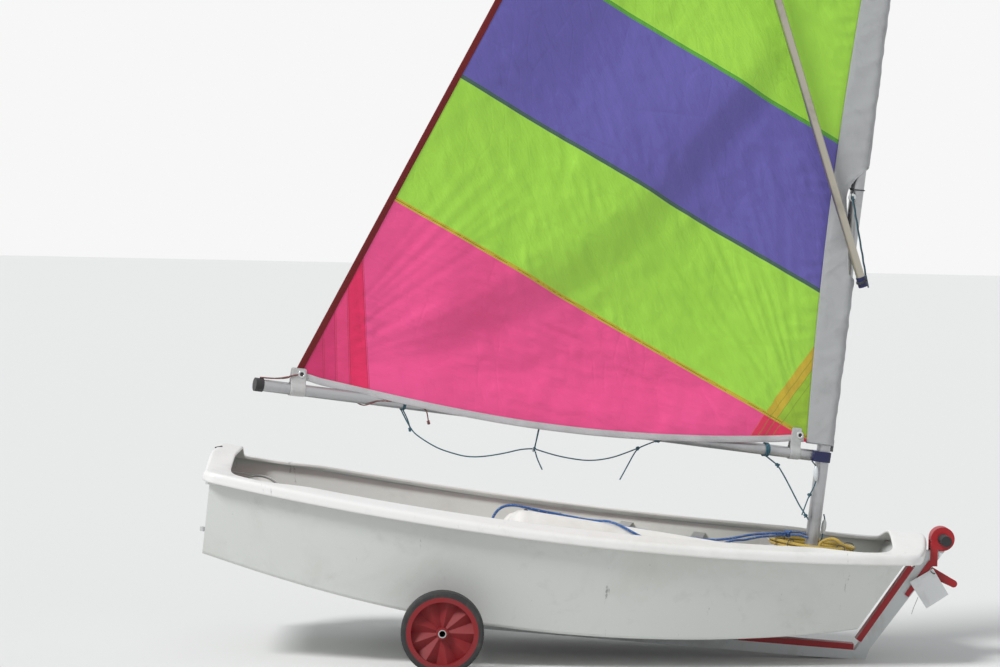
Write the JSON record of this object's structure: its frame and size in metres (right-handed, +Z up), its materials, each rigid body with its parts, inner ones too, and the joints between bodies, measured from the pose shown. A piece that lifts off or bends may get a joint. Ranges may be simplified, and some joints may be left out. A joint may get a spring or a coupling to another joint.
{
  "type": "sailing dinghy on a launching trolley",
  "caption": "Pram-bowed sailing dinghy with a sleeved, spritted sail swung to one side, parked on its two-wheeled launching trolley.",
  "frame": {"origin": "on the ground under the sole of the trolley's front foot, on the boat's centre plane", "axes": "+X forward to the bow, +Y to port, +Z up"},
  "size_m": [2.4948, 1.3233, 3.2244],
  "materials": {
    "hull_white": "moulded glass-fibre, satin gloss",
    "bag_vinyl": "inflated vinyl-coated fabric",
    "webbing": "woven webbing",
    "stainless": "stainless steel",
    "spar_alloy": "anodised tube",
    "trolley_white": "pale grey-white paint",
    "red_plastic": "moulded red plastic",
    "black_rubber": "soft grip",
    "tag_card": "blank white card",
    "black_plastic": "moulded",
    "navy_plastic": "moulded",
    "sleeve_cloth": "white polyester sailcloth",
    "sail_cloth": "banded light nylon",
    "tyre_rubber": "solid tyre",
    "sheet_rope": "braided polyester",
    "painter_rope": "braided polypropylene"
  },
  "bodies": {
    "boat": {"hull": "hull_white", "gunwale": "hull_white", "mast_thwart": "hull_white", "mast_step": "hull_white", "midship_frame": "hull_white", "daggerboard_case": "hull_white", "side_bag_starboard": "bag_vinyl", "side_bag_port": "bag_vinyl", "stern_bag": "bag_vinyl", "side_bag_straps_starboard": "webbing", "side_bag_straps_port": "webbing", "stern_bag_straps": "webbing", "mainsheet_knot": "sheet_rope", "mainsheet_run": "sheet_rope", "mainsheet_coil": "sheet_rope", "mainsheet_return": "sheet_rope", "painter_knot": "painter_rope", "painter_lead": "painter_rope", "painter_coil": "painter_rope", "axle_pads": "black_rubber", "toe_strap": "webbing", "gudgeon_upper": "stainless", "gudgeon_lower": "stainless", "axle": "spar_alloy", "trolley_beam": "trolley_white", "trolley_elbow": "trolley_white", "trolley_upright": "trolley_white", "beam_pad": "red_plastic", "upright_pad": "red_plastic", "handle_head": "red_plastic", "handle_grip": "black_rubber", "tow_lug": "red_plastic", "tag": "tag_card"},
    "rig": {"mast": "spar_alloy", "mast_cap": "black_plastic", "luff_sleeve": "sleeve_cloth", "sail": "sail_cloth", "boom": "spar_alloy", "boom_end_cap": "black_plastic", "boom_jaw": "navy_plastic", "clew_strap": "webbing", "tack_strap": "webbing", "sprit": "spar_alloy", "sprit_heel": "black_plastic", "sprit_tip": "black_plastic"},
    "wheel_starboard": {"wheel_hub_starboard": "red_plastic", "tyre_starboard": "tyre_rubber"},
    "wheel_port": {"wheel_hub_port": "red_plastic", "tyre_port": "tyre_rubber"}
  },
  "joints": [
    {"name": "rig_swing", "type": "hinge", "parent": "boat", "child": "rig", "pos_m": [-0.15926, 0, 0.4062], "axis": [0.104, 0, 0.9946], "range_deg": [-110, 70]},
    {"name": "wheel_starboard_spin", "type": "hinge", "parent": "boat", "child": "wheel_starboard", "pos_m": [-1.3685, -0.586, 0.13], "axis": [0, 1, 0], "continuous": true},
    {"name": "wheel_port_spin", "type": "hinge", "parent": "boat", "child": "wheel_port", "pos_m": [-1.3685, 0.586, 0.13], "axis": [0, 1, 0], "continuous": true}
  ]
}
